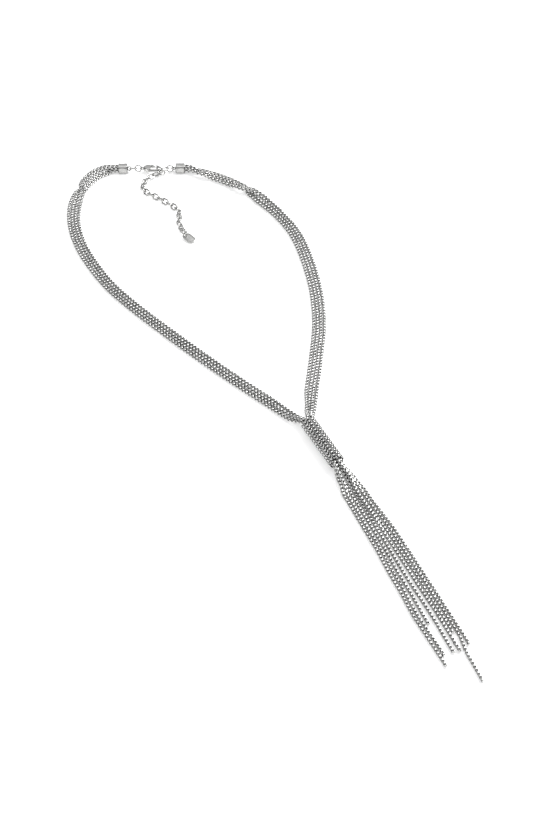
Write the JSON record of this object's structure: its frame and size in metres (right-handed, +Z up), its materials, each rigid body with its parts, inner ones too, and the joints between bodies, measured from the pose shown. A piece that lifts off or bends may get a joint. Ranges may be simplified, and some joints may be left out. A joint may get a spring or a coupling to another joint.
{
  "type": "lariat necklace",
  "caption": "Silver-tone lariat necklace of fine box chains drawn through one woven sleeve into a tassel, with end caps, lobster clasp, extension chain and tag.",
  "frame": {"origin": "middle of the neck opening, on the surface that the necklace lies on", "axes": "+Z up, +Y from the tassel towards the clasp, +X to the right when the tassel points towards the viewer"},
  "size_m": [0.0964, 0.3575, 0.0068],
  "materials": {
    "chain_metal": "bright silver-tone links",
    "bright_metal": "polished silver tone"
  },
  "bodies": {
    "necklace": {"chain_left_1": "chain_metal", "chain_left_2": "chain_metal", "chain_left_3": "chain_metal", "chain_left_4": "chain_metal", "chain_right_1": "chain_metal", "chain_right_2": "chain_metal", "chain_right_3": "chain_metal", "chain_right_4": "chain_metal", "sleeve": "chain_metal", "end_cap_left": "bright_metal", "end_cap_right": "bright_metal", "link_left": "bright_metal", "jump_ring_left": "bright_metal", "clasp_body": "bright_metal", "hook_ring": "bright_metal", "link_right": "bright_metal", "jump_ring_right": "bright_metal", "extension_chain": "bright_metal", "tag_ring": "bright_metal", "tag": "bright_metal"},
    "lever": {"clasp_lever": "bright_metal"}
  },
  "joints": [
    {"name": "lever_hinge", "type": "hinge", "parent": "necklace", "child": "lever", "pos_m": [0.0008, 0.09752, 0.0019], "axis": [0, 0, 1], "range_deg": [-22, 0], "stiffness_Nm_per_rad": 0.0005, "springref_deg": 11.46}
  ]
}
